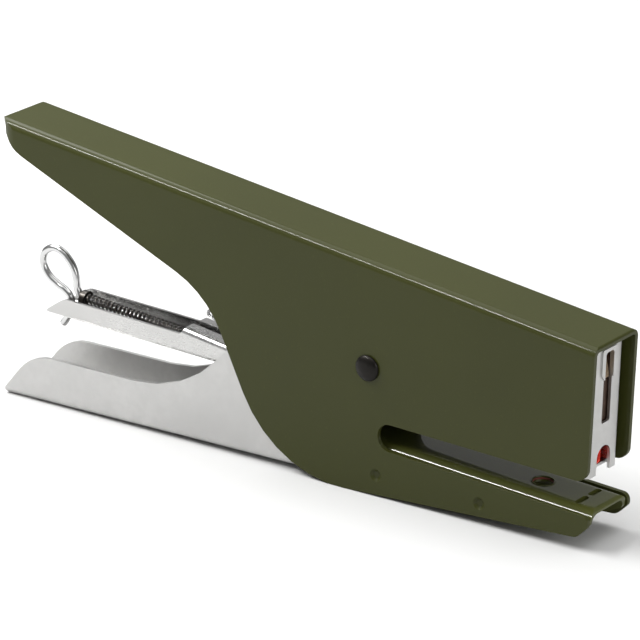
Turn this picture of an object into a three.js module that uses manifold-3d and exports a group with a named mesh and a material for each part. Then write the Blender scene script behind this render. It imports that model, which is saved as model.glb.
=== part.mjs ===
// Plier stapler: a folded sheet-steel body with a fixed anvil jaw, a hand lever, a magazine that swings
// down on the same rivet, a driver blade in its front plate, and a sprung pusher on a looped wire rod.
//
// Millimetres. +X points to the nose, +Z up; the near side is -Y. Two working frames are used:
//   body frame      x along the flat underside of the jaw, z = 0 on that underside
//   magazine frame  origin on the pivot, u along the rail towards the nose, w square to it
// The finished part is pitched nose-up until the lever's rear edge and the side plates share one floor.

import * as THREE from 'three';
import { mergeVertices } from 'three/addons/utils/BufferGeometryUtils.js';
import Module from 'manifold-3d';

const wasm = await Module();
wasm.setup();

// ---------------------------------------------------------------- driving dimensions

const REST_PITCH = 2.9;          // degrees nose-up between the body frame and the floor
const BODY_HALF = 8.65;          // half of the body's outer width
const BODY_SHEET = 1.1;
const BODY_BEND = 2.0;           // outer bend radius along the top edges
const BODY_BACK_X = -82.3;
const BODY_BACK_ROUND = 6.2;     // corners of the grip's rear end, seen from above
const TOP_Z = 58.1;              // top face above x = 0
const TOP_SLOPE = -0.184;        // rise per millimetre towards the nose
const MOUTH_Z = 19.25;           // upper edge of the mouth above x = 0
const MOUTH_SLOPE = -0.0835;
const JAW_Z = 13.46;             // top edge of the jaw plates above x = 0
const JAW_SLOPE = -0.108;
const MOUTH_BACK_X = 22.5;
const DIMPLES = [[21.5, 4.6], [48.8, 3.1]];   // staked dents that hold the anvil channel

const PIVOT_X = 20.6;
const PIVOT_Z = 29.5;
const RIVET_R = 2.0;
const RIVET_HEAD_R = 3.0;
const RIVET_HEAD_H = 1.3;
const SLEEVE_R = 3.0;
const BORE_GAP = 0.12;           // running clearance on every turning bore

const ANVIL_HALF = 7.2;
const ANVIL_SHEET = 1.1;
const ANVIL_BEND = 2.8;
const ANVIL_STEP = 0.6;          // anvil face above the jaw plates' edges
const ANVIL_BACK_X = 14;
const ANVIL_HOLE = { x: 60, r: 2.4 };
const POCKET = { x: 71.6, halfLength: 2.1, y: 2.6, halfWidth: 0.75, depth: 0.6 };

const LEVER_HALF = 7.35;
const LEVER_SHEET = 1.0;
const LEVER_BEND = 2.0;
const LEVER_BACK_X = -85.6;
const LEVER_Z = 1.79;            // lever underside above x = 0
const LEVER_SLOPE = -0.0367;

const PIN_X = 8;                 // cross pin that ties the drive arm to the lever
const PIN_Z = 37;
const PIN_R = 1.5;
const ARM_HALF = 0.95;
const NOSE_HALF = 1.25;          // half of the nose's thickness
const NOSE_BACK = 51.6;          // where the arm thickens into its nose
const NOSE_R = 56.4;             // reach of the drive arm's nose from the pivot
const NOSE_LOW = 9.2;
const NOSE_HIGH = 14.9;

const RAIL_TILT = 4.95;          // degrees nose-down of the magazine frame in the body frame
const RAIL_BOTTOM = -11.64;
const RAIL_HALF = 4.9;
const RAIL_SHEET = 0.7;
const RAIL_TRAY_H = 4.7;         // wall height of the open tray
const RAIL_TOP = -6.7;           // outside of the in-turned flanges
const RAIL_SLOT = 1.1;           // half of the slot between the flanges
const FLANGE_BACK = -53.5;
const FLANGE_LEVEL = -40;        // where the flared lead-in of the flanges becomes level
const FLARE = 1.4;
const FLANGE_BEND = 1.5;
const RAIL_BACK = -93.5;
const WALL_BACK = -88.2;         // where the walls' tapered rear ends reach full height
const RAIL_FRONT = 54.3;
const HOOK_SLOT = 1.25;          // half of the open-ended slot in the rail floor
const HOOK_SLOT_END = -87.6;

const FRAME_HALF = 5.75;
const FRAME_SHEET = 0.7;
const FRAME_FRONT = 56.0;
const FRAME_TOP = 17.4;
const FRAME_FOOT = -12.2;
const SLOT_HALF = 1.6;
const SLOT_LOW = -0.6;
const SLOT_HIGH = 15.8;
const ARCH_HALF = 2.7;
const ARCH_TOP = -6.0;

const BLADE = { front: 55.05, thick: 0.6, half: 4.0, low: -4.1, high: 16.4, windowHalf: 1.42 };

const WIRE_R = 0.85;
const ROD_W = -9.15;             // rod centre inside the rail
const ROD_TIP = 53.6;
const SPRING_OUT = 1.65;
const SPRING_IN = 1.05;
const SPRING_BACK = -84.6;
const PUSHER_BACK = 41.5;
const PUSHER_FRONT = 54.2;
const PUSHER_HALF = 3.95;

const COIL_IN = 3.45;
const COIL_OUT = 4.45;
const COIL_WIRE = 0.4;

// ---------------------------------------------------------------- materials

function finish(color, roughness, metalness) {
  return new THREE.MeshStandardMaterial({ color, roughness, metalness });
}

const enamel = finish(0x4a4c33, 0.35, 0.0);
const nickel = finish(0xc9c8c4, 0.32, 0.9);
const brightSteel = finish(0xb8b9ba, 0.25, 1.0);
const darkSteel = finish(0x3a3733, 0.4, 0.8);
const tanSteel = finish(0x9a8468, 0.4, 0.7);
const redPlastic = finish(0xc4261a, 0.4, 0.0);

// ---------------------------------------------------------------- small geometry helpers

const topZ = (x) => TOP_Z + TOP_SLOPE * x;
const mouthZ = (x) => MOUTH_Z + MOUTH_SLOPE * x;
const jawZ = (x) => JAW_Z + JAW_SLOPE * x;
const leverZ = (x) => LEVER_Z + LEVER_SLOPE * x;
const degrees = (slope) => THREE.MathUtils.radToDeg(Math.atan(slope));

// A closed outline from corners [x, y, radius]; each rounded corner becomes an arc tangent to its sides.
function outline(corners, arcStep = 12) {
  const points = [];
  const count = corners.length;
  for (let i = 0; i < count; i += 1) {
    const [x, y, r = 0] = corners[i];
    const here = new THREE.Vector2(x, y);
    if (r === 0) {
      points.push(here);
      continue;
    }
    const before = new THREE.Vector2(...corners[(i + count - 1) % count]).sub(here).normalize();
    const after = new THREE.Vector2(...corners[(i + 1) % count]).sub(here).normalize();
    const half = Math.acos(THREE.MathUtils.clamp(before.dot(after), -1, 1)) / 2;
    const centre = before.clone().add(after).normalize().multiplyScalar(r / Math.sin(half)).add(here);
    const start = before.clone().multiplyScalar(r / Math.tan(half)).add(here).sub(centre);
    const turn = (Math.PI - 2 * half) * Math.sign(after.cross(before));
    const steps = Math.max(2, Math.ceil(THREE.MathUtils.radToDeg(Math.abs(turn)) / arcStep));
    for (let s = 0; s <= steps; s += 1) {
      points.push(start.clone().rotateAround(new THREE.Vector2(), (turn * s) / steps).add(centre));
    }
  }
  return new THREE.Shape(points);
}

function circle(x, y, r, steps = 32) {
  const path = new THREE.Path();
  path.absarc(x, y, r, 0, 2 * Math.PI);
  return new THREE.Shape(path.getSpacedPoints(steps).slice(0, steps));
}

function extrude(shape, depth) {
  return new THREE.ExtrudeGeometry(shape, { depth, bevelEnabled: false, curveSegments: 12 });
}

// An outline in (x, z), solid from y0 to y1.
function slabY(shape, y0, y1) {
  return extrude(shape, y1 - y0).rotateX(Math.PI / 2).translate(0, y1, 0);
}

// An outline in (y, z), solid from x0 to x1.
function slabX(shape, x0, x1) {
  return extrude(shape, x1 - x0).rotateY(Math.PI / 2).rotateX(Math.PI / 2).translate(x0, 0, 0);
}

// An outline in (x, y), solid from z0 to z1.
function slabZ(shape, z0, z1) {
  return extrude(shape, z1 - z0).translate(0, 0, z0);
}

function box(x0, x1, y0, y1, z0, z1) {
  const size = new THREE.BoxGeometry(x1 - x0, y1 - y0, z1 - z0);
  return size.translate((x0 + x1) / 2, (y0 + y1) / 2, (z0 + z1) / 2);
}

// A round bar or tube lying along Y, centred on (x, z).
function barY(x, z, r, y0, y1, steps = 24) {
  return slabY(circle(x, z, r, steps), y0, y1);
}

function tubeY(x, z, inner, outer, y0, y1, steps = 24) {
  const ring = circle(x, z, outer, steps);
  ring.holes.push(circle(x, z, inner, steps));
  return slabY(ring, y0, y1);
}

// A solid of revolution about the line through (x, z) along Y; the profile is [radius, y] pairs.
function turnedY(x, z, profile, steps = 32) {
  const points = profile.map(([r, y]) => new THREE.Vector2(r, y));
  return new THREE.LatheGeometry(points, steps).translate(x, 0, z);
}

// Round wire, or a tube with a bore, along a curve.
function wire(points, radius, steps, sides = 12, bore = 0) {
  const section = circle(0, 0, radius, sides);
  if (bore > 0) section.holes.push(circle(0, 0, bore, sides));
  const path = new THREE.CatmullRomCurve3(points.map((p) => new THREE.Vector3(...p)), false, 'centripetal');
  return new THREE.ExtrudeGeometry(section, { steps, extrudePath: path, curveSegments: sides });
}

function solid(geometry) {
  const bare = geometry.clone();
  bare.deleteAttribute('normal');
  bare.deleteAttribute('uv');
  const merged = mergeVertices(bare, 1e-4);
  return new wasm.Manifold(new wasm.Mesh({
    numProp: 3,
    vertProperties: new Float32Array(merged.attributes.position.array),
    triVerts: new Uint32Array(merged.index.array),
  }));
}

const join = (...pieces) => pieces.map(solid).reduce((a, b) => a.add(b));
const cut = (from, ...tools) => tools.map(solid).reduce((a, b) => a.subtract(b), from);

function place(group, name, shape, material) {
  let geometry = shape;
  if (shape instanceof wasm.Manifold) {
    const { vertProperties, triVerts } = shape.getMesh();
    geometry = new THREE.BufferGeometry();
    geometry.setAttribute('position', new THREE.BufferAttribute(vertProperties, 3));
    geometry.setIndex(new THREE.BufferAttribute(triVerts, 1));
    geometry = geometry.toNonIndexed();
    geometry.computeVertexNormals();
  }
  const mesh = new THREE.Mesh(geometry, material);
  mesh.name = name;
  group.add(mesh);
}

// A channel section swept along X: outer and inner outlines share the open side, which is at y = open.
function channel(half, sheet, bend, closed, open, x0, x1) {
  const inward = Math.sign(open - closed);
  const outer = outline([
    [-half, open], [-half, closed, bend], [half, closed, bend], [half, open],
  ]);
  const inner = outline([
    [-half + sheet, open + inward],
    [-half + sheet, closed + inward * sheet, bend - sheet],
    [half - sheet, closed + inward * sheet, bend - sheet],
    [half - sheet, open + inward],
  ]);
  return cut(solid(slabX(outer, x0, x1)), slabX(inner, x0 - 1, x1 + 1));
}

const tilt = (manifold, slope) => manifold.rotate([0, -degrees(slope), 0]);

// ---------------------------------------------------------------- body

// Side view of the folded body: upper grip, belly, jaw, mouth and nose.
function bodyOutline() {
  return outline([
    [BODY_BACK_X, topZ(BODY_BACK_X), 1.0],
    [-77.4, 65.8, 12],
    [-23.2, 39.5, 24],
    [-6.8, 0, 29],
    [73.7, 0, 2.6],
    [76.7, 2.7, 1.3],
    [76.7, jawZ(76.7), 1.6],
    [MOUTH_BACK_X, jawZ(MOUTH_BACK_X), 3.1],
    [MOUTH_BACK_X, mouthZ(MOUTH_BACK_X), 3.1],
    [76.85, mouthZ(76.85), 3.0],
    [79.75, topZ(79.75), 0.6],
  ], 10);
}

function dimpleTool(x, z, side) {
  const face = BODY_HALF;
  const profile = [[0, face + 0.5], [1.6, face + 0.5], [1.5, face], [0.8, face - 0.6], [0, face - 0.6]];
  return side > 0
    ? turnedY(x, z, profile.slice().reverse(), 20)
    : turnedY(x, z, profile.map(([r, y]) => [r, -y]), 20);
}

function dimpleBoss(x, z, side) {
  const inner = BODY_HALF - BODY_SHEET;
  return side > 0 ? barY(x, z, 1.0, inner - 0.4, inner + 0.3, 20) : barY(x, z, 1.0, -inner - 0.3, 0.4 - inner, 20);
}

function bodyShell() {
  const folded = tilt(channel(BODY_HALF, BODY_SHEET, BODY_BEND, 0, -70, -95, 95), TOP_SLOPE);
  const reach = BODY_HALF + 0.02;
  const plan = outline([
    [BODY_BACK_X, -reach, BODY_BACK_ROUND], [95, -reach], [95, reach], [BODY_BACK_X, reach, BODY_BACK_ROUND],
  ]);
  let shell = folded.translate([0, 0, TOP_Z]).intersect(solid(slabY(bodyOutline(), -10, 10)));
  shell = shell.intersect(solid(slabZ(plan, -5, 90)));
  shell = cut(shell, barY(PIVOT_X, PIVOT_Z, RIVET_R + BORE_GAP, -10, 10, 24));
  for (const [x, z] of DIMPLES) {
    for (const side of [-1, 1]) {
      shell = shell.add(solid(dimpleBoss(x, z, side)));
      shell = cut(shell, dimpleTool(x, z, side));
    }
  }
  return shell;
}

function anvilChannel() {
  const face = JAW_Z + ANVIL_STEP;
  const faceZ = (x) => jawZ(x) + ANVIL_STEP;
  const profile = outline([
    [ANVIL_BACK_X, 0.8, 1.0],
    [72.0, 0.8, 2.5],
    [76.1, 2.4, 1.2],
    [76.9, faceZ(76.9), 1.0],
    [ANVIL_BACK_X, faceZ(ANVIL_BACK_X), 3.5],
  ]);
  const folded = tilt(channel(ANVIL_HALF, ANVIL_SHEET, ANVIL_BEND, 0, -20, -5, 90), JAW_SLOPE);
  let anvil = folded.translate([0, 0, face]).intersect(solid(slabY(profile, -10, 10)));
  const hole = slabZ(circle(ANVIL_HOLE.x, 0, ANVIL_HOLE.r, 28), 3, 20);
  anvil = cut(anvil, hole);
  for (const side of [-1, 1]) {
    const y = side * POCKET.y;
    const floor = faceZ(POCKET.x) - POCKET.depth;
    const plan = outline([
      [POCKET.x - POCKET.halfWidth, y - POCKET.halfLength, 0.7],
      [POCKET.x + POCKET.halfWidth, y - POCKET.halfLength, 0.7],
      [POCKET.x + POCKET.halfWidth, y + POCKET.halfLength, 0.7],
      [POCKET.x - POCKET.halfWidth, y + POCKET.halfLength, 0.7],
    ], 18);
    anvil = cut(anvil, slabZ(plan, floor, floor + 5));
  }
  for (const [x, z] of DIMPLES) {
    anvil = cut(anvil, barY(x, z, 1.4, -10, 10, 20));
  }
  return anvil;
}

function pivotRivet() {
  const shank = BODY_HALF + 0.08;
  const dome = [];
  const rise = Math.PI / 2;
  for (let i = 0; i <= 4; i += 1) {
    const a = (rise * i) / 4;
    dome.push([RIVET_HEAD_R * Math.cos(a), shank + 0.15 + (RIVET_HEAD_H - 0.15) * Math.sin(a)]);
  }
  dome[4][0] = 0;
  const far = [[RIVET_R, shank], [RIVET_HEAD_R, shank], ...dome];
  const near = far.map(([r, y]) => [r, -y]).reverse();
  return turnedY(PIVOT_X, PIVOT_Z, [...near, ...far], 24);
}

// ---------------------------------------------------------------- hand lever and drive arm

function leverOutline() {
  return outline([
    [LEVER_BACK_X, leverZ(LEVER_BACK_X), 0.5],
    [4.0, leverZ(4.0), 4],
    [8.5, 12, 12],
    [15.0, 21.0, 5],
    [28.4, 21.4, 7.4],
    [28.8, 37.0, 7.4],
    [17, 41.2, 8],
    [6, 42.6, 5],
    [-7.9, 37.5, 12],
    [-32.2, 14.0, 33],
    [-76.5, 16.05, 12],
    [-85.4, 6.5, 2.5],
  ]);
}

function handLever() {
  const folded = tilt(channel(LEVER_HALF, LEVER_SHEET, LEVER_BEND, 0, 60, -95, 40), LEVER_SLOPE);
  const lever = folded.translate([0, 0, LEVER_Z]).intersect(solid(slabY(leverOutline(), -10, 10)));
  return cut(
    lever,
    barY(PIVOT_X, PIVOT_Z, SLEEVE_R + BORE_GAP, -10, 10),
    barY(PIN_X, PIN_Z, PIN_R + 0.05, -10, 10, 24),
  );
}

// A point of the magazine frame, given in the body frame.
function fromMagazine(u, w) {
  const a = THREE.MathUtils.degToRad(RAIL_TILT);
  return [PIVOT_X + u * Math.cos(a) + w * Math.sin(a), PIVOT_Z - u * Math.sin(a) + w * Math.cos(a)];
}

function driveArm() {
  const low = fromMagazine(Math.sqrt(NOSE_R ** 2 - NOSE_LOW ** 2), NOSE_LOW);
  const mid = fromMagazine(Math.sqrt(NOSE_R ** 2 - 11 ** 2), 11);
  const high = fromMagazine(Math.sqrt(NOSE_R ** 2 - NOSE_HIGH ** 2), NOSE_HIGH);
  const arm = outline([
    [...low, 0.5],
    mid,
    [...high, 0.7],
    [...fromMagazine(49, NOSE_HIGH), 6],
    [...fromMagazine(30, 11), 10],
    [22, 38.2, 8],
    [4.0, 42.0, 4.2],
    [4.0, 32.6, 4.0],
    [13.6, 23.1, 7],
    [28.0, 22.9, 7],
    [...fromMagazine(46, 7.4), 8],
    [...fromMagazine(50, NOSE_LOW), 1.5],
  ]);
  const [noseX] = fromMagazine(NOSE_BACK, NOSE_LOW);
  const nose = solid(slabY(arm, -NOSE_HALF, NOSE_HALF)).intersect(solid(box(noseX, noseX + 10, -2, 2, 20, 60)));
  return cut(
    solid(slabY(arm, -ARM_HALF, ARM_HALF)).add(nose),
    barY(PIVOT_X, PIVOT_Z, SLEEVE_R + BORE_GAP, -5, 5),
    barY(PIN_X, PIN_Z, PIN_R + 0.05, -5, 5, 24),
  );
}

// Torsion spring on the sleeve: a coil with one leg against the roof and one leg to the piece it turns.
function torsionSpring(y, roofEnd, workPath) {
  const turns = tubeY(PIVOT_X, PIVOT_Z, COIL_IN, COIL_OUT, y - 1.6, y + 1.6, 28);
  const mid = (COIL_IN + COIL_OUT) / 2;
  const roofLeg = wire([[PIVOT_X + mid, y, PIVOT_Z], [PIVOT_X + mid + 1, y, PIVOT_Z + 6], roofEnd], COIL_WIRE, 10, 8);
  return join(turns, roofLeg, wire(workPath, COIL_WIRE, 18, 8));
}

// ---------------------------------------------------------------- magazine, in its own frame

function magazineFrame() {
  const plan = [
    outline([[-30, -FRAME_HALF], [FRAME_FRONT, -FRAME_HALF, 1.2], [FRAME_FRONT, FRAME_HALF, 1.2], [-30, FRAME_HALF]]),
    outline([
      [-31, FRAME_SHEET - FRAME_HALF],
      [FRAME_FRONT - FRAME_SHEET, FRAME_SHEET - FRAME_HALF, 0.5],
      [FRAME_FRONT - FRAME_SHEET, FRAME_HALF - FRAME_SHEET, 0.5],
      [-31, FRAME_HALF - FRAME_SHEET],
    ]),
  ];
  const folded = cut(solid(slabZ(plan[0], -20, 20)), slabZ(plan[1], -21, 21));
  const side = outline([
    [-13, RAIL_BOTTOM + 0.1, 1.0],
    [51.5, RAIL_BOTTOM + 0.1],
    [52.2, FRAME_FOOT],
    [57, FRAME_FOOT],
    [57, FRAME_TOP],
    [48, FRAME_TOP, 3],
    [33, 6.8, 8],
    [6.6, 6.6, 6],
    [-6.8, 6.6, 6.5],
    [-7.4, -5.5, 5],
    [-13, -8.6, 1.2],
  ]);
  const panel = outline([
    [-2.9, FRAME_TOP - 0.8, 0.4], [-2.9, 10.9, 0.3], [-1.9, 9.6, 0.3],
    [1.9, 9.6, 0.3], [2.9, 10.9, 0.3], [2.9, FRAME_TOP - 0.8, 0.4],
  ]);
  const slot = outline([
    [-SLOT_HALF, SLOT_LOW, 0.5], [SLOT_HALF, SLOT_LOW, 0.5],
    [SLOT_HALF, SLOT_HIGH, 0.8], [-SLOT_HALF, SLOT_HIGH, 0.8],
  ]);
  const arch = outline([
    [-ARCH_HALF, -20], [ARCH_HALF, -20], [ARCH_HALF, ARCH_TOP, 2.69], [-ARCH_HALF, ARCH_TOP, 2.69],
  ]);
  let frame = folded.intersect(solid(slabY(side, -10, 10)));
  frame = frame.add(solid(slabX(panel, FRAME_FRONT - 0.4, FRAME_FRONT + 0.35)));
  return cut(
    frame,
    slabX(slot, 50, 60),
    slabX(arch, 50, 60),
    barY(0, 0, SLEEVE_R + BORE_GAP, -10, 10),
    ...railRivetSpots().map(([u, hand]) => barY(u, -9.3, 1.05, hand * 5.4 - 2, hand * 5.4 + 2, 16)),
  );
}

function railRivetSpots() {
  return [[4, -1], [4, 1], [38, -1], [38, 1]];
}

function magazineRail() {
  const inner = RAIL_HALF - RAIL_SHEET;
  const floor = RAIL_BOTTOM + RAIL_SHEET;
  const trayTop = RAIL_BOTTOM + RAIL_TRAY_H;
  const tray = channel(RAIL_HALF, RAIL_SHEET, 1.3, RAIL_BOTTOM, 0, RAIL_BACK - 1, RAIL_FRONT);
  const side = outline([
    [RAIL_BACK, RAIL_BOTTOM - 1],
    [RAIL_FRONT, RAIL_BOTTOM - 1],
    [RAIL_FRONT, RAIL_TOP - 0.3],
    [FLANGE_LEVEL, RAIL_TOP - 0.3, 20],
    [FLANGE_BACK, RAIL_TOP + FLARE - 0.3],
    [FLANGE_BACK - 1.0, trayTop, 0.4],
    [WALL_BACK, trayTop, 4],
    [RAIL_BACK, floor + 0.1, 0.3],
  ]);
  const flanges = outline([
    [FLANGE_BACK, RAIL_TOP + FLARE],
    [FLANGE_BACK, RAIL_TOP + FLARE - RAIL_SHEET],
    [FLANGE_LEVEL, RAIL_TOP - RAIL_SHEET, 20],
    [RAIL_FRONT, RAIL_TOP - RAIL_SHEET],
    [RAIL_FRONT, RAIL_TOP],
    [FLANGE_LEVEL, RAIL_TOP, 20],
  ]);
  const rounded = (top) => outline([
    [-RAIL_HALF, -40], [RAIL_HALF, -40], [RAIL_HALF, top, FLANGE_BEND], [-RAIL_HALF, top, FLANGE_BEND],
  ]);
  const leadIn = tilt(solid(slabX(rounded(0), -80, 0.01)), -FLARE / (FLANGE_LEVEL - FLANGE_BACK));
  const level = solid(slabX(rounded(RAIL_TOP), FLANGE_LEVEL, 80));
  const cap = leadIn.translate([FLANGE_LEVEL, 0, RAIL_TOP]).add(level);
  const plan = outline([
    [RAIL_BACK, -RAIL_HALF, 0.8], [60, -RAIL_HALF], [60, RAIL_HALF], [RAIL_BACK, RAIL_HALF, 0.8],
  ]);
  const hookSlot = outline([
    [RAIL_BACK - 2, -HOOK_SLOT], [HOOK_SLOT_END, -HOOK_SLOT, 1.2],
    [HOOK_SLOT_END, HOOK_SLOT, 1.2], [RAIL_BACK - 2, HOOK_SLOT],
  ]);
  let rail = tray.intersect(solid(slabY(side, -10, 10)));
  rail = rail.add(solid(slabY(flanges, -RAIL_HALF, RAIL_HALF)));
  rail = rail.intersect(cap).intersect(solid(slabZ(plan, -20, 0)));
  return cut(
    rail,
    box(-70, 60, -RAIL_SLOT, RAIL_SLOT, RAIL_TOP - 2, 0),
    slabZ(hookSlot, -20, -5),
    ...railRivetSpots().map(([u, hand]) => barY(u, -9.3, 1.05, hand * inner - 1, hand * inner + 1, 16)),
  );
}

function railRivet(u, side) {
  const inside = RAIL_HALF - RAIL_SHEET + 0.05;
  const face = FRAME_HALF + 0.05;
  const profile = [[0, inside], [1.0, inside], [1.0, face], [1.6, face], [1.4, face + 0.35], [0, face + 0.4]];
  const turned = side > 0 ? profile : profile.map(([r, y]) => [r, -y]).reverse();
  return turnedY(u, -9.3, turned, 16);
}

function driverBlade() {
  const face = outline([
    [-BLADE.half, BLADE.low], [BLADE.half, BLADE.low], [BLADE.half, BLADE.high, 1], [-BLADE.half, BLADE.high, 1],
  ]);
  face.holes.push(outline([
    [-BLADE.windowHalf, NOSE_LOW - 0.35, 0.3], [BLADE.windowHalf, NOSE_LOW - 0.35, 0.3],
    [BLADE.windowHalf, NOSE_HIGH + 0.45, 0.3], [-BLADE.windowHalf, NOSE_HIGH + 0.45, 0.3],
  ]));
  return solid(slabX(face, BLADE.front - BLADE.thick, BLADE.front));
}

// Centre line of the rod where it leaves the rail and rises through the tray.
const rodLine = [[ROD_TIP, 0, ROD_W], [0, 0, ROD_W], [-50, 0, ROD_W], [-60, 0, -8.95], [-70, 0, -8.35], [-84.5, 0, -7.7]];

// The loop, from its front strand over the top and back through the floor to the hook, as (u, w) pairs.
const loopLine = [
  [-86.4, -7.5], [-87.8, -6.1], [-88.35, -3.3], [-89.2, -0.9], [-90.7, 0.95], [-92.5, 2.25],
  [-94.5, 2.7], [-96.6, 2.0], [-97.95, 0.3], [-98.05, -1.9], [-96.5, -4.4], [-94.0, -5.9],
  [-91.6, -6.9], [-89.9, -8.3], [-89.3, -10.2], [-89.4, -12.4], [-90.5, -14.2], [-92.3, -15.6],
].map(([u, w]) => [u, 0, w]);

function pusherRod() {
  const body = wire([...rodLine, ...loopLine], WIRE_R, 96, 10);
  const head = slabX(circle(0, ROD_W, 1.45, 20), ROD_TIP - 0.9, ROD_TIP);
  return join(body, head);
}

function pusherSpring() {
  const line = [[PUSHER_BACK - 0.3, 0, ROD_W], [0, 0, ROD_W], [-50, 0, ROD_W], [-60, 0, -8.95], [-70, 0, -8.35]];
  return wire([...line, [SPRING_BACK, 0, -7.7]], SPRING_OUT, 22, 12, SPRING_IN);
}

function rodCollar() {
  const ring = circle(0, 0, 2.05, 24);
  ring.holes.push(circle(0, 0, WIRE_R + 0.22, 24));
  return slabX(ring, -1.4, 0).rotateY(THREE.MathUtils.degToRad(3)).translate(SPRING_BACK - 0.25, 0, -7.68);
}

function staplePusher() {
  const plan = outline([
    [PUSHER_BACK, -PUSHER_HALF, 0.6], [PUSHER_FRONT, -PUSHER_HALF, 3.1],
    [PUSHER_FRONT, PUSHER_HALF, 3.1], [PUSHER_BACK, PUSHER_HALF, 0.6],
  ]);
  const low = RAIL_BOTTOM + RAIL_SHEET + 0.12;
  const high = RAIL_TOP - RAIL_SHEET - 0.12;
  return cut(
    solid(slabZ(plan, low, high)),
    slabX(circle(0, ROD_W, WIRE_R + BORE_GAP, 20), 30, 60),
    slabX(circle(0, ROD_W, 1.55, 20), ROD_TIP - 1.1, 60),
  );
}

// ---------------------------------------------------------------- assembly

const stapler = new THREE.Group();
const body = new THREE.Group();
const magazine = new THREE.Group();
stapler.add(body);
body.add(magazine);
body.rotation.y = THREE.MathUtils.degToRad(-REST_PITCH);
magazine.position.set(PIVOT_X, 0, PIVOT_Z);
magazine.rotation.y = THREE.MathUtils.degToRad(RAIL_TILT);

const innerFace = BODY_HALF - BODY_SHEET;
place(body, 'body_shell', bodyShell(), enamel);
place(body, 'anvil_channel', anvilChannel(), enamel);
place(body, 'pivot_rivet', pivotRivet(), darkSteel);
place(body, 'pivot_sleeve', tubeY(PIVOT_X, PIVOT_Z, RIVET_R + BORE_GAP, SLEEVE_R, 0.08 - innerFace, innerFace - 0.08),
  brightSteel);

place(body, 'hand_lever', handLever(), nickel);
place(body, 'drive_arm', driveArm(), tanSteel);
place(body, 'lever_cross_pin', barY(PIN_X, PIN_Z, PIN_R, -LEVER_HALF, LEVER_HALF, 24), brightSteel);
for (const [name, side] of [['near', -1], ['far', 1]]) {
  const spacer = [side * (ARM_HALF + 0.1), side * (LEVER_HALF - LEVER_SHEET - 0.1)].sort((a, b) => a - b);
  place(body, `arm_spacer_${name}`, tubeY(PIN_X, PIN_Z, PIN_R + BORE_GAP, 2.7, ...spacer, 24), brightSteel);
  const washer = [side * (FRAME_HALF + 0.12), side * (LEVER_HALF - LEVER_SHEET - 0.12)].sort((a, b) => a - b);
  place(body, `pivot_washer_${name}`, tubeY(PIVOT_X, PIVOT_Z, SLEEVE_R + BORE_GAP, 5.4, ...washer), brightSteel);
}

const coilMid = (COIL_IN + COIL_OUT) / 2;
place(body, 'lever_spring', torsionSpring(-2.9, [34, -2.9, topZ(34) - 2.6], [
  [PIVOT_X, -2.9, PIVOT_Z + coilMid], [15, -2.9, 37.4], [PIN_X, -2.9, PIN_Z + 3.8], [2, -2.9, 42.4],
]), darkSteel);
place(body, 'magazine_spring', torsionSpring(2.9, [34, 2.9, topZ(34) - 2.6], [
  [PIVOT_X - coilMid, 2.9, PIVOT_Z], [14, 2.9, 26.2], [0, 2.9, 26.6], [-20, 2.9, 27.6],
  [-27, 2.9, 28.6], [-30.6, 2.9, 29.45], [-31.9, 2.9, 30.4], [-31.0, 2.9, 31.2],
]), brightSteel);

place(magazine, 'magazine_frame', magazineFrame(), nickel);
place(magazine, 'magazine_rail', magazineRail(), nickel);
railRivetSpots().forEach(([u, side], i) => {
  place(magazine, `rail_rivet_${i + 1}`, railRivet(u, side), brightSteel);
});
place(magazine, 'driver_blade', driverBlade(), darkSteel);
place(magazine, 'pusher_rod', pusherRod(), brightSteel);
place(magazine, 'pusher_spring', pusherSpring(), darkSteel);
place(magazine, 'rod_collar', rodCollar(), darkSteel);
place(magazine, 'staple_pusher', staplePusher(), redPlastic);

// The origin is the centre of the part's footprint box, on the floor.
stapler.updateMatrixWorld(true);
const bounds = new THREE.Box3().setFromObject(stapler, true);
const middle = bounds.getCenter(new THREE.Vector3());
body.position.set(-middle.x, -middle.y, -bounds.min.z);

export default stapler;
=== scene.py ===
"""A plier stapler: its looks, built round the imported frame."""

import math

import bmesh
import bpy
from mathutils import Matrix, Vector


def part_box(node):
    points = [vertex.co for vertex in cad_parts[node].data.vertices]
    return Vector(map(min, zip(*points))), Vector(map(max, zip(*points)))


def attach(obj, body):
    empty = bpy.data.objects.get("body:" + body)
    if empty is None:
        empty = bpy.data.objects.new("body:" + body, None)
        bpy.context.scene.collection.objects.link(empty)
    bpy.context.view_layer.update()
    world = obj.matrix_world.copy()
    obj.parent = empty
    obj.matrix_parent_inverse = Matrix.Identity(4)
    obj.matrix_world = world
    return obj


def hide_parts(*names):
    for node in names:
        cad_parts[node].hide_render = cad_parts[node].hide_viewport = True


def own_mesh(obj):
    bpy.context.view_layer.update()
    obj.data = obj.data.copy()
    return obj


bl_info = {
    "name": "Plier stapler",
    "version": (1, 0, 0),
    "blender": (4, 5, 0),
    "location": "3D View > Sidebar > Stapler",
    "description": "Builds the pieces and finishes of an all-metal plier stapler",
    "category": "Add Mesh",
}

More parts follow.
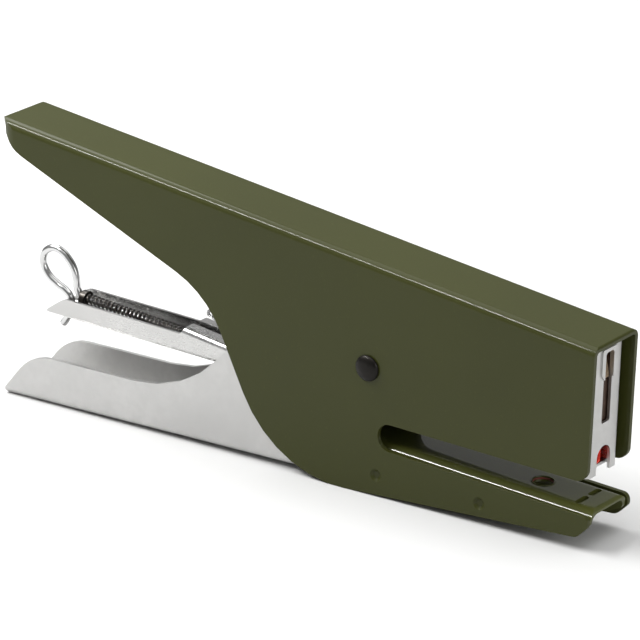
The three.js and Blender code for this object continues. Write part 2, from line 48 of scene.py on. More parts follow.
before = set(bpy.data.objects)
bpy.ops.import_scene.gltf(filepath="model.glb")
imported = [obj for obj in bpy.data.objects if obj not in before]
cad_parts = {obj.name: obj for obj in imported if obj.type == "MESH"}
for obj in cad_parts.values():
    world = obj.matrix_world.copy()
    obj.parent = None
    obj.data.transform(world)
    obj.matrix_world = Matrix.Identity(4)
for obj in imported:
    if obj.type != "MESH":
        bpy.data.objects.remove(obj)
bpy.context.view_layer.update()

MM = 0.001
BODY_PITCH = math.radians(-2.9)      # the body stands nose up on its belly and hand lever
RAIL_PITCH = math.radians(4.95)      # the magazine hangs nose down in the body
PIVOT_IN_BODY = Vector((20.6, 0.0, 29.5))
BODY_HALF = 8.65
ROD_W = -9.15                        # the rod's height under the pivot, inside the rail
TOP_Z, TOP_SLOPE = 58.1, -0.184      # the top face over x = 0, and its rise towards the nose
ANVIL_Z, ANVIL_SLOPE = 14.06, -0.108
HOLE_X = 60.0                        # the punched hole in the anvil
COIL_RADIUS = 3.95                   # the torsion springs, to the middle of their wire
ROOF_LEG_X = 34.0                    # where their legs meet the roof


def rivet_centre():
    low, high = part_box("pivot_rivet")
    return (low + high) / 2


PIVOT = rivet_centre()
# Millimetres on the magazine, with the origin on the pivot and +X along the rail to the nose.
MAGAZINE = (
    Matrix.Translation(PIVOT)
    @ Matrix.Rotation(BODY_PITCH + RAIL_PITCH, 4, "Y")
    @ Matrix.Scale(MM, 4)
)
# Millimetres on the body, with z = 0 on the flat underside of the jaw.
BODY = (
    Matrix.Translation(PIVOT)
    @ Matrix.Rotation(BODY_PITCH, 4, "Y")
    @ Matrix.Scale(MM, 4)
    @ Matrix.Translation(-PIVOT_IN_BODY)
)


# ---------------------------------------------------------------- settings


class StaplerSizes(bpy.types.PropertyGroup):
    """Sizes that the frame leaves open."""

    body_edge: bpy.props.FloatProperty(
        name="Body edge", description="Rounding on the rims of the folded body",
        default=0.17 * MM, min=0.0, unit="LENGTH", precision=5,
    )
    lever_edge: bpy.props.FloatProperty(
        name="Lever edge", description="Rounding on the rims of the hand lever",
        default=0.22 * MM, min=0.0, unit="LENGTH", precision=5,
    )
    fine_edge: bpy.props.FloatProperty(
        name="Fine edge", description="Rounding on the thin magazine sheet and small parts",
        default=0.1 * MM, min=0.0, unit="LENGTH", precision=5,
    )
    rod_wire: bpy.props.FloatProperty(
        name="Rod wire", description="Radius of the looped wire rod",
        default=0.9 * MM, min=0.0, unit="LENGTH", precision=5,
    )
    spring_wire: bpy.props.FloatProperty(
        name="Spring wire", description="Radius of the wire of the pusher spring",
        default=0.27 * MM, min=0.0, unit="LENGTH", precision=5,
    )
    spring_pitch: bpy.props.FloatProperty(
        name="Spring pitch", description="Distance between two turns of the pusher spring",
        default=1.15 * MM, min=0.0, unit="LENGTH", precision=5,
    )
    torsion_wire: bpy.props.FloatProperty(
        name="Torsion wire", description="Radius of the wire of the two springs on the pivot",
        default=0.4 * MM, min=0.0, unit="LENGTH", precision=5,
    )


class StaplerColours(bpy.types.PropertyGroup):
    """Base colours of the finishes."""

    enamel: bpy.props.FloatVectorProperty(
        name="Enamel", description="Olive enamel of the body and anvil",
        default=(0.0345, 0.0378, 0.0078), size=3, min=0.0, max=1.0, subtype="COLOR",
    )
    nickel: bpy.props.FloatVectorProperty(
        name="Nickel", description="Satin nickel of the lever, rail and magazine",
        default=(0.55, 0.547, 0.538), size=3, min=0.0, max=1.0, subtype="COLOR",
    )
    steel: bpy.props.FloatVectorProperty(
        name="Steel", description="Plain steel of the pins, the blade and the wire",
        default=(0.62, 0.62, 0.62), size=3, min=0.0, max=1.0, subtype="COLOR",
    )
    black_oxide: bpy.props.FloatVectorProperty(
        name="Black oxide", description="Blackened steel of the rivet and the dark springs",
        default=(0.035, 0.03, 0.025), size=3, min=0.0, max=1.0, subtype="COLOR",
    )
    passivated: bpy.props.FloatVectorProperty(
        name="Passivated steel", description="Yellow passivated steel of the drive arm",
        default=(0.31, 0.205, 0.11), size=3, min=0.0, max=1.0, subtype="COLOR",
    )
    pusher: bpy.props.FloatVectorProperty(
        name="Pusher", description="Red moulding that pushes the staples",
        default=(0.85, 0.04, 0.015), size=3, min=0.0, max=1.0, subtype="COLOR",
    )


class StudioSettings(bpy.types.PropertyGroup):
    """Camera, floor and lights."""

    azimuth: bpy.props.FloatProperty(
        name="Azimuth", description="Camera's turn round the stapler",
        default=math.radians(35.758), subtype="ANGLE",
    )
    elevation: bpy.props.FloatProperty(
        name="Elevation", description="Camera's height above the horizon",
        default=math.radians(20.148), subtype="ANGLE",
    )
    distance: bpy.props.FloatProperty(
        name="Distance", description="From the camera to the point that it looks at",
        default=1.01102, min=0.1, unit="LENGTH",
    )
    aim: bpy.props.FloatVectorProperty(
        name="Aim", description="The point that the camera looks at",
        default=(-0.002345, 0.008948, 0.030352), size=3, subtype="XYZ", unit="LENGTH",
    )
    focal_length: bpy.props.FloatProperty(
        name="Focal length", description="Focal length in millimetres on a 36 mm sensor",
        default=253.125, min=10.0,
    )
    floor: bpy.props.FloatVectorProperty(
        name="Floor", description="Colour of the floor",
        default=(0.61, 0.61, 0.607), size=3, min=0.0, max=1.0, subtype="COLOR",
    )
    surround: bpy.props.FloatProperty(
        name="Surround", description="Brightness of the even light from all round",
        default=0.26, min=0.0,
    )
    overhead: bpy.props.FloatProperty(
        name="Overhead", description="Power of the large softbox overhead, in watts",
        default=16.0, min=0.0,
    )
    key: bpy.props.FloatProperty(
        name="Key", description="Power of the softbox on the grip's side, in watts",
        default=1.6, min=0.0,
    )
    edge_light: bpy.props.FloatProperty(
        name="Edge light", description="Power of the strip that draws the folded edges, in watts",
        default=7.0, min=0.0,
    )
    nose_light: bpy.props.FloatProperty(
        name="Nose light", description="Power of the softbox before the nose, in watts",
        default=2.2, min=0.0,
    )
    grip_light: bpy.props.FloatProperty(
        name="Grip light", description="Power of the small softbox over the grip, in watts",
        default=0.8, min=0.0,
    )
    back_light: bpy.props.FloatProperty(
        name="Back light", description="Power of the softbox that the anvil mirrors, in watts",
        default=0.18, min=0.0,
    )


# ---------------------------------------------------------------- shader sums


class Value:
    """A shader socket that can be written in a sum."""

    def __init__(self, shader, socket):
        self.shader = shader
        self.socket = socket

    def sum(self, operation, first, second):
        return self.shader.node("ShaderNodeMath", {"operation": operation}, {0: first, 1: second})

    def __add__(self, other):
        return self.sum("ADD", self, other)

    def __radd__(self, other):
        return self.sum("ADD", other, self)

    def __sub__(self, other):
        return self.sum("SUBTRACT", self, other)

    def __rsub__(self, other):
        return self.sum("SUBTRACT", other, self)

    def __mul__(self, other):
        return self.sum("MULTIPLY", self, other)

    def __rmul__(self, other):
        return self.sum("MULTIPLY", other, self)


class Finish:
    """A material under construction: one Principled surface and what feeds it."""

    def __init__(self, name):
        self.material = bpy.data.materials.new(name)
        self.material.use_nodes = True
        self.tree = self.material.node_tree
        self.tree.nodes.clear()

    def node(self, kind, settings=None, sockets=None, out=0):
        """Adds a node, with its settings first and then the values or links of its sockets."""
        made = self.tree.nodes.new(kind)
        for key, value in (settings or {}).items():
            setattr(made, key, value)
        for key, value in (sockets or {}).items():
            if isinstance(value, Value):
                self.tree.links.new(value.socket, made.inputs[key])
            else:
                made.inputs[key].default_value = value
        return Value(self, made.outputs[out]) if len(made.outputs) else None

    def place(self, stretch=(1.0, 1.0, 1.0)):
        """Object coordinates, drawn out along an axis where a stretch is under 1."""
        own = self.node("ShaderNodeTexCoord", out="Object")
        return self.node("ShaderNodeMapping", {}, {"Vector": own, "Scale": stretch})

    def noise(self, scale, detail=2.0, stretch=(1.0, 1.0, 1.0), roughness=0.5):
        spot = self.place(stretch)
        sockets = {"Vector": spot, "Scale": scale, "Detail": detail, "Roughness": roughness}
        return self.node("ShaderNodeTexNoise", {}, sockets)

    def ramp(self, value, low, high, first=0.0, last=1.0):
        """A value spread over a range, as a number."""
        limits = {"From Min": low, "From Max": high, "To Min": first, "To Max": last, "Value": value}
        return self.node("ShaderNodeMapRange", {"interpolation_type": "SMOOTHSTEP"}, limits)

    def blend(self, share, first, second):
        """A colour between two others."""
        colours = [c if isinstance(c, Value) else (*c, 1.0) for c in (first, second)]
        sockets = {"Factor": share, 6: colours[0], 7: colours[1]}
        return self.node("ShaderNodeMix", {"data_type": "RGBA"}, sockets, out=2)

    def bump(self, height, depth, strength=1.0, under=None):
        sockets = {"Height": height, "Distance": depth, "Strength": strength}
        if under is not None:
            sockets["Normal"] = under
        return self.node("ShaderNodeBump", {}, sockets)

    def surface(self, **sockets):
        """Ends the material with a Principled surface; a socket is named in words joined by _."""
        named = {key.replace("_", " "): value for key, value in sockets.items()}
        shader = self.node("ShaderNodeBsdfPrincipled", {}, named)
        self.node("ShaderNodeOutputMaterial", {}, {"Surface": shader})
        return self.material


def shade(colour, factor):
    return tuple(min(1.0, c * factor) for c in colour)


# ---------------------------------------------------------------- finishes


def olive_enamel(colour, name="olive_enamel", gloss=0.28, haze=0.05, ripple=0.0):
    """Stoved enamel: a faint orange peel under a clear gloss, and a few grains of dust in it."""
    f = Finish(name)
    drift = f.ramp(f.noise(22.0, 3.0), 0.3, 0.7)
    grain = f.noise(5200.0, 1.0)
    tone = f.blend(drift, shade(colour, 0.95), shade(colour, 1.05))
    specks = f.ramp(f.noise(1700.0, 0.0), 0.74, 0.8)
    tone = f.blend(specks * 0.25, tone, shade(colour, 1.6))
    peel = f.noise(620.0, 2.0, roughness=0.4)
    skin = f.bump(peel, 0.008 * MM, 0.5)
    if ripple > 0:
        skin = f.bump(f.noise(190.0, 2.0, roughness=0.35), ripple, 1.0, skin)
    return f.surface(
        Base_Color=tone,
        Roughness=0.46 + grain * 0.08 + drift * 0.03,
        Normal=skin,
        Coat_Weight=gloss,
        Coat_Roughness=haze,
        Specular_IOR_Level=0.08,
    )


def satin_nickel(colour, name="satin_nickel", roughness=0.32):
    """Tumbled and plated sheet: soft clouds, a fine mottle and a grain along the sheet."""
    f = Finish(name)
    clouds = f.ramp(f.noise(55.0, 5.0), 0.3, 0.7)
    mottle = f.noise(480.0, 3.0)
    grain = f.noise(4200.0, 2.0, stretch=(0.12, 1.0, 1.0))
    tone = f.blend(clouds, shade(colour, 0.88), shade(colour, 1.04))
    tone = f.blend(f.ramp(mottle, 0.35, 0.7) * 0.5, tone, shade(colour, 0.9))
    return f.surface(
        Base_Color=tone,
        Metallic=1.0,
        Roughness=roughness + clouds * 0.08 + grain * 0.1,
        Normal=f.bump(grain, 0.006 * MM, 0.5),
    )


def plain_steel(colour, name="plain_steel", roughness=0.22):
    """Bare drawn or ground steel with the marks of its tool along it."""
    f = Finish(name)
    grain = f.noise(5200.0, 2.0, stretch=(0.1, 1.0, 1.0))
    tarnish = f.ramp(f.noise(160.0, 3.0), 0.45, 0.75)
    tone = f.blend(tarnish * 0.5, colour, shade(colour, 0.8))
    return f.surface(
        Base_Color=tone,
        Metallic=1.0,
        Roughness=roughness + grain * 0.1 + tarnish * 0.06,
        Normal=f.bump(grain, 0.005 * MM, 0.5),
    )


def black_oxide(colour, name="black_oxide", roughness=0.26, gloss=0.3):
    """Blackened and oiled steel, rubbed brighter here and there."""
    f = Finish(name)
    rub = f.ramp(f.noise(420.0, 3.0), 0.5, 0.78)
    grain = f.noise(3600.0, 2.0)
    tone = f.blend(rub * 0.5, colour, shade(colour, 2.6))
    return f.surface(
        Base_Color=tone,
        Metallic=0.85,
        Roughness=roughness + grain * 0.12,
        Normal=f.bump(grain, 0.006 * MM, 0.4),
        Coat_Weight=gloss,
        Coat_Roughness=0.12,
    )


def yellow_passivated(colour):
    """Zinc passivated yellow-brown, with its drifting tint and bright worn places."""
    f = Finish("yellow_passivated")
    tint = f.ramp(f.noise(230.0, 3.0), 0.35, 0.7)
    worn = f.ramp(f.noise(900.0, 3.0), 0.6, 0.75)
    tone = f.blend(tint, colour, (colour[0] * 0.8, colour[1] * 0.9, colour[2] * 1.15))
    tone = f.blend(worn * 0.5, tone, (0.62, 0.56, 0.46))
    return f.surface(
        Base_Color=tone,
        Metallic=0.9,
        Roughness=0.34 + tint * 0.1,
        Normal=f.bump(f.noise(3000.0, 2.0), 0.006 * MM, 0.4),
    )


def red_moulding(colour):
    """Glossy moulded plastic with faint flow marks."""
    f = Finish("red_moulding")
    flow = f.ramp(f.noise(300.0, 2.0, stretch=(0.4, 1.0, 1.0)), 0.3, 0.7)
    return f.surface(
        Base_Color=f.blend(flow, shade(colour, 0.9), colour),
        Roughness=0.28 + flow * 0.08,
        Normal=f.bump(f.noise(1500.0, 2.0), 0.008 * MM, 0.5),
        Coat_Weight=0.2,
    )


def oxide_primer():
    """The red-brown primer that shows on the punched wall of the anvil's hole."""
    f = Finish("oxide_primer")
    patch = f.ramp(f.noise(900.0, 3.0), 0.35, 0.65)
    return f.surface(
        Base_Color=f.blend(patch, (0.09, 0.02, 0.012), (0.2, 0.05, 0.03)),
        Roughness=0.5 + patch * 0.2,
        Normal=f.bump(f.noise(2600.0, 2.0), 0.01 * MM, 0.6),
    )


def pale_floor(colour):
    """Matt paper sweep with a barely visible tooth."""
    f = Finish("pale_floor")
    tooth = f.noise(900.0, 2.0)
    tone = f.blend(tooth, shade(colour, 0.995), colour)
    return f.surface(Base_Color=tone, Roughness=0.85 + tooth * 0.05)


# Each finish once it is made, by its name.
finishes = {}


def finish_of(name):
    """Makes each finish once, from the scene's colours."""
    colours = bpy.context.scene.stapler_colours
    enamel, nickel = tuple(colours.enamel), tuple(colours.nickel)
    steel, black = tuple(colours.steel), tuple(colours.black_oxide)
    makers = {
        "enamel": lambda: olive_enamel(enamel),
        # The anvil's colour is the body's enamel painted 1.6 times lighter: painted light for the light that
        # reaches the anvil inside the mouth. Its gloss and ripple are its own.
        "anvil_enamel_painted_light": lambda: olive_enamel(shade(enamel, 1.6), "anvil_enamel_painted_light", 0.6, 0.03, 0.05 * MM),
        "nickel": lambda: satin_nickel(nickel),
        "polished_nickel": lambda: satin_nickel(shade(nickel, 1.02), "polished_nickel", 0.17),
        "bright_steel": lambda: plain_steel(steel),
        "spring_wire": lambda: plain_steel(steel, "bright_wire", 0.16),
        "dark_steel": lambda: black_oxide(black),
        "browned": lambda: black_oxide(shade(black, 0.3), "browned", 0.4, 0.1),
        # The driver blade's dark brown is painted shade: it stands for the shade deep in the front slot where
        # the blade sits.
        "blade_painted_slot_shade": lambda: black_oxide((0.075, 0.042, 0.027), "blade_painted_slot_shade", 0.3, 0.1),
        "oiled_wire": lambda: black_oxide(shade(black, 1.3), "oiled_wire", 0.16, 0.5),
        "tan_steel": lambda: yellow_passivated(tuple(colours.passivated)),
        "red_plastic": lambda: red_moulding(tuple(colours.pusher)),
        "primer": oxide_primer,
    }
    if name not in finishes:
        finishes[name] = makers[name]()
    return finishes[name]


# ---------------------------------------------------------------- mesh helpers


def add_piece(name, bm, finish, body, stands_for=()):
    """Puts a finished bmesh in the scene as a smooth piece that rides on a body."""
    mesh = bpy.data.meshes.new(name)
    bm.to_mesh(mesh)
    bm.free()
    mesh.shade_smooth()
    mesh.materials.append(finish_of(finish))
    piece = bpy.data.objects.new(name, mesh)
    bpy.context.scene.collection.objects.link(piece)
    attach(piece, body)
    if stands_for:
        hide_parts(*stands_for)
    return piece


def rounded_copy(node, edge, finish, body, segments=3, sharp=math.radians(32)):
    """A CAD node with its triangles joined into whole faces and its rims rounded over."""
    bm = bmesh.new()
    bm.from_mesh(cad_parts[node].data)
    bmesh.ops.remove_doubles(bm, verts=bm.verts, dist=0.008 * MM)
    bmesh.ops.dissolve_limit(bm, angle_limit=math.radians(0.8), verts=bm.verts, edges=bm.edges)
    rims = [e for e in bm.edges if e.is_manifold and e.calc_face_angle() > sharp]
    bmesh.ops.bevel(
        bm, geom=rims, offset=edge, offset_type="OFFSET", segments=segments,
        profile=0.5, affect="EDGES", clamp_overlap=True, material=-1,
    )
    bmesh.ops.triangulate(bm, faces=[f for f in bm.faces if len(f.verts) > 4])
    piece = add_piece(f"{node}_finished", bm, finish, body, [node])
    even = piece.modifiers.new("even_shading", "WEIGHTED_NORMAL")
    even.keep_sharp = True
    return piece


def turned(profile, spot, steps=40):
    """A solid turned about Y through a spot; the profile is (radius, y) pairs from axis to axis."""
    bm = bmesh.new()
    verts = [bm.verts.new((r, y, 0)) for r, y in profile]
    edges = [bm.edges.new(pair) for pair in zip(verts, verts[1:])]
    bmesh.ops.spin(
        bm, geom=verts + edges, cent=(0, 0, 0), axis=(0, 1, 0), dvec=(0, 0, 0),
        angle=2 * math.pi, steps=steps, use_merge=True, use_duplicate=False,
    )
    bmesh.ops.remove_doubles(bm, verts=bm.verts, dist=1e-4)
    bmesh.ops.recalc_face_normals(bm, faces=bm.faces)
    bmesh.ops.translate(bm, verts=bm.verts, vec=spot)
    return bm


def bent_wire(name, points, radius, finish, body, place, stands_for=()):
    """Round wire along a smooth line of points in millimetres, made a closed mesh."""
    curve = bpy.data.curves.new(name, "CURVE")
    curve.dimensions = "3D"
    curve.bevel_depth = radius / MM
    curve.bevel_resolution = 5
    curve.resolution_u = 8
    curve.use_fill_caps = True
    line = curve.splines.new("BEZIER")
    line.bezier_points.add(len(points) - 1)
    for point, spot in zip(line.bezier_points, points):
        point.co = spot
        point.handle_left_type = "AUTO"
        point.handle_right_type = "AUTO"
    drawn = bpy.data.objects.new(name, curve)
    bpy.context.scene.collection.objects.link(drawn)
    mesh = drawn.to_mesh()
    bm = bmesh.new()
    bm.from_mesh(mesh)
    drawn.to_mesh_clear()
    bpy.data.objects.remove(drawn)
    bmesh.ops.remove_doubles(bm, verts=bm.verts, dist=1e-4)
    bmesh.ops.recalc_face_normals(bm, faces=bm.faces)
    ends = [e for e in bm.edges if e.calc_face_angle(0.0) > math.radians(70)]
    bmesh.ops.bevel(
        bm, geom=ends, offset=0.6 * radius / MM, offset_type="OFFSET", segments=4,
        profile=0.5, affect="EDGES", clamp_overlap=True, material=-1,
    )
    bmesh.ops.transform(bm, matrix=place, verts=bm.verts)
    return add_piece(name, bm, finish, body, stands_for)


def coil(radius, wire, pitch, turns, steps=18, sides=8):
    """Turns of round wire about X, starting at x = 0, as a bmesh in millimetres."""
    bm = bmesh.new()
    ring = bmesh.ops.create_circle(bm, cap_ends=False, segments=sides, radius=wire)["verts"]
    bmesh.ops.rotate(bm, verts=ring, cent=(0, 0, 0), matrix=Matrix.Rotation(math.pi / 2, 3, "X"))
    bmesh.ops.translate(bm, verts=ring, vec=(0, 0, radius))
    total = round(turns * steps)
    bmesh.ops.spin(
        bm, geom=ring + list(bm.edges), cent=(0, 0, 0), axis=(1, 0, 0), dvec=(pitch / steps, 0, 0),
        angle=2 * math.pi * total / steps, steps=total, use_merge=False, use_duplicate=False,
    )
    bmesh.ops.holes_fill(bm, edges=[e for e in bm.edges if e.is_boundary], sides=0)
    bmesh.ops.recalc_face_normals(bm, faces=bm.faces)
    return bm


# ---------------------------------------------------------------- operators


def sizes():
    return bpy.context.scene.stapler_sizes


class STAPLER_OT_body(bpy.types.Operator):
    """Fold the enamelled body and its anvil channel"""

    bl_idname = "stapler.body"
    bl_label = "Body and anvil"

    def execute(self, context):
        rounded_copy("body_shell", sizes().body_edge, "enamel", "body")
        rounded_copy("anvil_channel", sizes().body_edge, "anvil_enamel_painted_light", "body")
        return {"FINISHED"}


class STAPLER_OT_anvil_hole(bpy.types.Operator):
    """Raise the rim of the punched hole in the anvil and line its wall"""

    bl_idname = "stapler.anvil_hole"
    bl_label = "Anvil hole"

    def execute(self, context):
        middle = Matrix.Translation((HOLE_X, 0.0, ANVIL_Z + ANVIL_SLOPE * HOLE_X))
        face = middle @ Matrix.Rotation(-math.atan(ANVIL_SLOPE), 4, "Y")
        upright = Matrix.Rotation(math.pi / 2, 4, "X")
        lip = [(2.42, -0.1), (2.75, -0.1), (2.72, 0.1), (2.58, 0.2), (2.42, 0.12), (2.42, -0.1)]
        rim = turned(lip, (0, 0, 0))
        bmesh.ops.transform(rim, matrix=BODY @ face @ upright, verts=rim.verts)
        add_piece("hole_rim", rim, "anvil_enamel_painted_light", "body")
        lining = [(2.3, -0.6), (2.38, -0.6), (2.38, -0.12), (2.3, -0.12), (2.3, -0.6)]
        wall = turned(lining, (0, 0, 0))
        bmesh.ops.transform(wall, matrix=BODY @ face @ upright, verts=wall.verts)
        add_piece("hole_wall", wall, "primer", "body")
        return {"FINISHED"}


class STAPLER_OT_lever(bpy.types.Operator):
    """Press the nickel hand lever"""

    bl_idname = "stapler.lever"
    bl_label = "Hand lever"

    def execute(self, context):
        rounded_copy("hand_lever", sizes().lever_edge, "nickel", "lever")
        return {"FINISHED"}


class STAPLER_OT_magazine(bpy.types.Operator):
    """Fold the magazine frame and the staple rail and rivet them together"""

    bl_idname = "stapler.magazine"
    bl_label = "Magazine and rail"

    def execute(self, context):
        rounded_copy("magazine_frame", sizes().fine_edge, "nickel", "magazine")
        rounded_copy("magazine_rail", sizes().fine_edge, "polished_nickel", "magazine")
        for number in range(1, 5):
            rounded_copy(f"rail_rivet_{number}", sizes().fine_edge, "bright_steel", "magazine")
        return {"FINISHED"}


class STAPLER_OT_pivot(bpy.types.Operator):
    """Turn the pivot rivet, its sleeve, washers and spacers"""

    bl_idname = "stapler.pivot"
    bl_label = "Pivot and pins"

    def execute(self, context):
        seat = BODY_HALF + 0.08
        dome = [(3.0 * math.cos(a), seat + 0.2 + 1.1 * math.sin(a)) for a in arc_steps(9)]
        half = [(1.95, seat), (2.85, seat), (3.0, seat + 0.1), *dome[:-1], (0.0, seat + 1.3)]
        profile = [(r, -y) for r, y in reversed(half)] + half
        rivet = turned(profile, PIVOT_IN_BODY)
        bmesh.ops.transform(rivet, matrix=BODY, verts=rivet.verts)
        add_piece("rivet_turned", rivet, "browned", "body", ["pivot_rivet"])
        rounded_copy("pivot_sleeve", sizes().fine_edge, "bright_steel", "body")
        rings = [f"{kind}_{side}" for kind in ("arm_spacer", "pivot_washer") for side in ("near", "far")]
        for node in ("lever_cross_pin", *rings):
            rounded_copy(node, sizes().fine_edge, "bright_steel", "lever")
        return {"FINISHED"}


def arc_steps(count):
    return [math.pi / 2 * i / (count - 1) for i in range(count)]


class STAPLER_OT_drive(bpy.types.Operator):
    """Blank the drive arm and the driver blade"""

    bl_idname = "stapler.drive"
    bl_label = "Drive arm and blade"

    def execute(self, context):
        rounded_copy("drive_arm", sizes().fine_edge, "tan_steel", "lever")
        # The blade's dark brown is painted shade of the front slot.
        rounded_copy("driver_blade", sizes().fine_edge, "blade_painted_slot_shade", "driver")
        return {"FINISHED"}


class STAPLER_OT_pusher(bpy.types.Operator):
    """Bend the looped rod and wind its spring, and mould the staple pusher"""

    bl_idname = "stapler.pusher"
    bl_label = "Rod, spring and pusher"

    def execute(self, context):
        line = [(53.6, ROD_W), (0, ROD_W), (-50, ROD_W), (-60, -8.95), (-70, -8.35), (-84.5, -7.7)]
        line += [(-86.4, -7.5), (-87.8, -6.1), (-88.35, -3.3), (-89.2, -0.9), (-90.7, 0.95), (-92.5, 2.25)]
        line += [(-94.5, 2.7), (-96.6, 2.0), (-97.95, 0.3), (-98.05, -1.9), (-96.5, -4.4), (-94.0, -5.9)]
        line += [(-91.6, -6.9), (-90.1, -8.2), (-89.7, -10.2), (-90.2, -12.2), (-91.1, -13.9), (-92.1, -15.3)]
        line = [(u, 0, w) for u, w in line]
        wire = sizes().rod_wire
        bent_wire("looped_rod", line, wire, "spring_wire", "pusher_rod", MAGAZINE, ["pusher_rod"])
        # The spring follows the rod, which climbs by this much over its rear stretch.
        back, front, climb_from, rise = -84.6, 41.2, -50.0, 1.45
        pitch = sizes().spring_pitch / MM
        wound = coil(1.34, sizes().spring_wire / MM, pitch, (front - back - 0.6) / pitch)
        bmesh.ops.translate(wound, verts=wound.verts, vec=(back + 0.3, 0, ROD_W))
        for v in wound.verts:
            share = max(0.0, (climb_from - v.co.x) / (climb_from - back))
            v.co.z += rise * share ** 1.35
        bmesh.ops.transform(wound, matrix=MAGAZINE, verts=wound.verts)
        spring = add_piece("wound_spring", wound, "oiled_wire", "pusher_rod", ["pusher_spring"])
        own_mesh(spring)
        rounded_copy("rod_collar", sizes().fine_edge, "dark_steel", "pusher_rod")
        rounded_copy("staple_pusher", sizes().fine_edge, "red_plastic", "pusher")
        return {"FINISHED"}


class STAPLER_OT_torsion_springs(bpy.types.Operator):
    """Wind the two torsion springs on the pivot sleeve"""

    bl_idname = "stapler.torsion_springs"
    bl_label = "Torsion springs"

    def wind(self, name, y, finish, leg_body, leg):
        """A coil that stays on the body, and the leg that rides on the piece it turns."""
        turns, steps = 2.5, 40
        x, z = PIVOT_IN_BODY.x, PIVOT_IN_BODY.z
        wire = sizes().torsion_wire
        roof = TOP_Z + TOP_SLOPE * ROOF_LEG_X - 2.6
        spread = 1.08
        path = []
        for i in range(steps + 1):
            angle = turns * 2 * math.pi * i / steps - math.pi
            across = y - spread + 2 * spread * i / steps
            path.append((x + COIL_RADIUS * math.cos(angle), across, z + COIL_RADIUS * math.sin(angle)))
        path += [(x + COIL_RADIUS + 1, y + spread, z + 6), (ROOF_LEG_X, y + spread, roof)]
        bent_wire(f"{name}_coil", path, wire, finish, "body", BODY, [name])
        bent_wire(f"{name}_leg", leg, wire, finish, leg_body, BODY, [name])

    def execute(self, context):
        x, z = PIVOT_IN_BODY.x, PIVOT_IN_BODY.z
        up = [(x, -3.98, z + COIL_RADIUS), (15, -3.6, 37.4), (8, -2.9, 40.8), (2, -2.9, 42.4)]
        self.wind("lever_spring", -2.9, "dark_steel", "lever", up)
        back = [(x - COIL_RADIUS, 1.82, z), (14, 2.5, 26.2), (0, 2.9, 26.6), (-20, 2.9, 27.6)]
        back += [(-27, 2.9, 28.6), (-30.6, 2.9, 29.45), (-31.9, 2.9, 30.4), (-31.0, 2.9, 31.2)]
        self.wind("magazine_spring", 2.9, "spring_wire", "magazine", back)
        return {"FINISHED"}


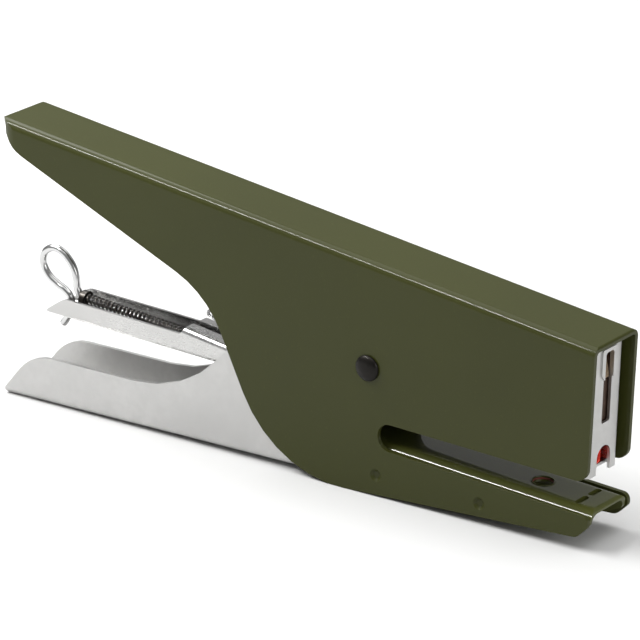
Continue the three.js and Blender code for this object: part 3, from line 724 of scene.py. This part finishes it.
class STAPLER_OT_studio(bpy.types.Operator):
    """Lay the floor and set the camera and the lights"""

    bl_idname = "stapler.studio"
    bl_label = "Studio"

    def softbox(self, name, spot, size, power, aim=(0, 0, 0.03)):
        light = bpy.data.lights.new(name, "AREA")
        light.shape = "RECTANGLE"
        light.size, light.size_y = size
        light.energy = power
        lamp = bpy.data.objects.new(name, light)
        lamp.location = spot
        lamp.rotation_euler = (Vector(aim) - Vector(spot)).to_track_quat("-Z", "Y").to_euler()
        bpy.context.scene.collection.objects.link(lamp)

    def execute(self, context):
        scene = context.scene
        studio = scene.stapler_studio
        bm = bmesh.new()
        bmesh.ops.create_circle(bm, cap_ends=True, segments=128, radius=0.9)
        mesh = bpy.data.meshes.new("floor")
        bm.to_mesh(mesh)
        bm.free()
        mesh.materials.append(pale_floor(tuple(studio.floor)))
        floor = bpy.data.objects.new("floor", mesh)
        scene.collection.objects.link(floor)

        world = bpy.data.worlds.new("surround")
        world.use_nodes = True
        nodes, links = world.node_tree.nodes, world.node_tree.links
        back = nodes["Background"]
        back.inputs["Color"].default_value = (1.0, 1.0, 1.0, 1.0)
        seen = nodes.new("ShaderNodeLightPath").outputs["Is Camera Ray"]
        strength = nodes.new("ShaderNodeMapRange")
        strength.inputs["To Min"].default_value = studio.surround
        strength.inputs["To Max"].default_value = 1.0
        links.new(seen, strength.inputs["Value"])
        links.new(strength.outputs["Result"], back.inputs["Strength"])
        scene.world = world

        self.softbox("overhead", (0.1, 0.15, 1.3), (1.7, 1.6), studio.overhead)
        self.softbox("key", (-0.55, -0.28, 0.62), (0.5, 0.4), studio.key)
        self.softbox("edge_strip", (-0.45, -0.3, 0.68), (0.7, 0.03), studio.edge_light)
        self.softbox("nose_box", (0.75, -0.15, 0.3), (0.4, 0.4), studio.nose_light)
        self.softbox("grip_box", (-0.28, 0.1, 0.36), (0.2, 0.2), studio.grip_light, (-0.06, 0, 0.06))
        self.softbox("back_box", (-0.36, 0.44, 0.28), (0.7, 0.3), studio.back_light)

        a, e = studio.azimuth, studio.elevation
        back_off = Vector((math.sin(a) * math.cos(e), -math.cos(a) * math.cos(e), math.sin(e)))
        lens = bpy.data.cameras.new("camera")
        lens.lens = studio.focal_length
        lens.sensor_width = 36.0
        lens.clip_start, lens.clip_end = 0.01, 50.0
        camera = bpy.data.objects.new("camera", lens)
        camera.location = Vector(studio.aim) + back_off * studio.distance
        camera.rotation_euler = (-back_off).to_track_quat("-Z", "Y").to_euler()
        scene.collection.objects.link(camera)
        scene.camera = camera
        scene.view_settings.view_transform = "Standard"
        return {"FINISHED"}


class STAPLER_PT_parts(bpy.types.Panel):
    """Sidebar list of the stapler's pieces and settings"""

    bl_idname = "STAPLER_PT_parts"
    bl_label = "Plier stapler"
    bl_space_type = "VIEW_3D"
    bl_region_type = "UI"
    bl_category = "Stapler"

    def draw(self, context):
        column = self.layout.column(align=True)
        for operator in BUILD_ORDER:
            column.operator(operator.bl_idname)
        scene = context.scene
        for group in (scene.stapler_sizes, scene.stapler_colours, scene.stapler_studio):
            box = self.layout.box()
            for name in group.bl_rna.properties.keys():
                if name not in {"rna_type", "name"}:
                    box.prop(group, name)


BUILD_ORDER = (
    STAPLER_OT_body,
    STAPLER_OT_anvil_hole,
    STAPLER_OT_lever,
    STAPLER_OT_magazine,
    STAPLER_OT_pivot,
    STAPLER_OT_drive,
    STAPLER_OT_pusher,
    STAPLER_OT_torsion_springs,
    STAPLER_OT_studio,
)
CLASSES = (StaplerSizes, StaplerColours, StudioSettings, *BUILD_ORDER, STAPLER_PT_parts)


def register():
    for cls in CLASSES:
        bpy.utils.register_class(cls)
    bpy.types.Scene.stapler_sizes = bpy.props.PointerProperty(type=StaplerSizes)
    bpy.types.Scene.stapler_colours = bpy.props.PointerProperty(type=StaplerColours)
    bpy.types.Scene.stapler_studio = bpy.props.PointerProperty(type=StudioSettings)


def unregister():
    del bpy.types.Scene.stapler_studio
    del bpy.types.Scene.stapler_colours
    del bpy.types.Scene.stapler_sizes
    for cls in reversed(CLASSES):
        bpy.utils.unregister_class(cls)


def main():
    register()
    for operator in BUILD_ORDER:
        group, name = operator.bl_idname.split(".")
        getattr(getattr(bpy.ops, group), name)()
    bpy.context.view_layer.update()


if __name__ == "__main__":
    main()
